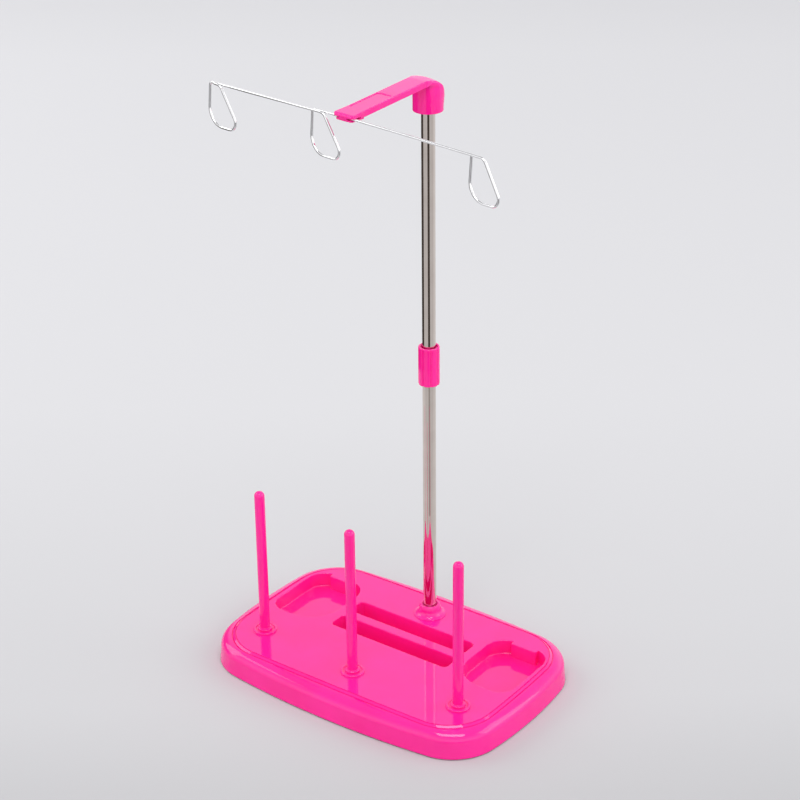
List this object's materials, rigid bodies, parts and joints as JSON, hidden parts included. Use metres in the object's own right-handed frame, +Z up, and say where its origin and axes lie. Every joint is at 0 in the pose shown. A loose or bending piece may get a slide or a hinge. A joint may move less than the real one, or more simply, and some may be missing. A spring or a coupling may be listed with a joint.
{
  "type": "spool stand",
  "caption": "Free-standing spool stand with upright spool pins, a two-part mast, a swinging arm and a wire thread guide over trays and slots.",
  "frame": {"origin": "middle of the whole footprint at the underside of the feet", "axes": "+Z up along the mast, +X along the base to the right as seen from the spool pins' side, +Y to the back where the mast stands"},
  "size_m": [0.2485, 0.163, 0.4331],
  "materials": {
    "pink_plastic": "glossy moulded",
    "plated_tube": "bright nickel plating",
    "chrome_wire": "bright chrome plating",
    "foot_rubber": "matt"
  },
  "bodies": {
    "base": {"base_shell": "pink_plastic", "foot_front_left": "foot_rubber", "foot_front_right": "foot_rubber", "foot_back_left": "foot_rubber", "foot_back_right": "foot_rubber", "lower_tube": "plated_tube", "tube_coupling": "pink_plastic"},
    "pin_left": {"spool_pin_left": "pink_plastic"},
    "pin_middle": {"spool_pin_middle": "pink_plastic"},
    "pin_right": {"spool_pin_right": "pink_plastic"},
    "mast": {"upper_tube": "plated_tube"},
    "arm": {"guide_arm": "pink_plastic"},
    "guide": {"thread_guide": "chrome_wire"}
  },
  "joints": [
    {"name": "pin_left_lift", "type": "slide", "parent": "base", "child": "pin_left", "axis": [0, 0, 1], "range_m": [0, 0.013]},
    {"name": "pin_middle_lift", "type": "slide", "parent": "base", "child": "pin_middle", "axis": [0, 0, 1], "range_m": [0, 0.013]},
    {"name": "pin_right_lift", "type": "slide", "parent": "base", "child": "pin_right", "axis": [0, 0, 1], "range_m": [0, 0.013]},
    {"name": "mast_lift", "type": "slide", "parent": "base", "child": "mast", "axis": [0, 0, 1], "range_m": [0, 0.01455]},
    {"name": "arm_swivel", "type": "hinge", "parent": "mast", "child": "arm", "pos_m": [0.00316, 0.049, 0.4095], "axis": [0, 0, 1], "continuous": true},
    {"name": "guide_tilt", "type": "hinge", "parent": "arm", "child": "guide", "pos_m": [-0.00427, -0.03106, 0.425], "axis": [0.9957, -0.0924, 0], "range_deg": [-110, 70]}
  ]
}
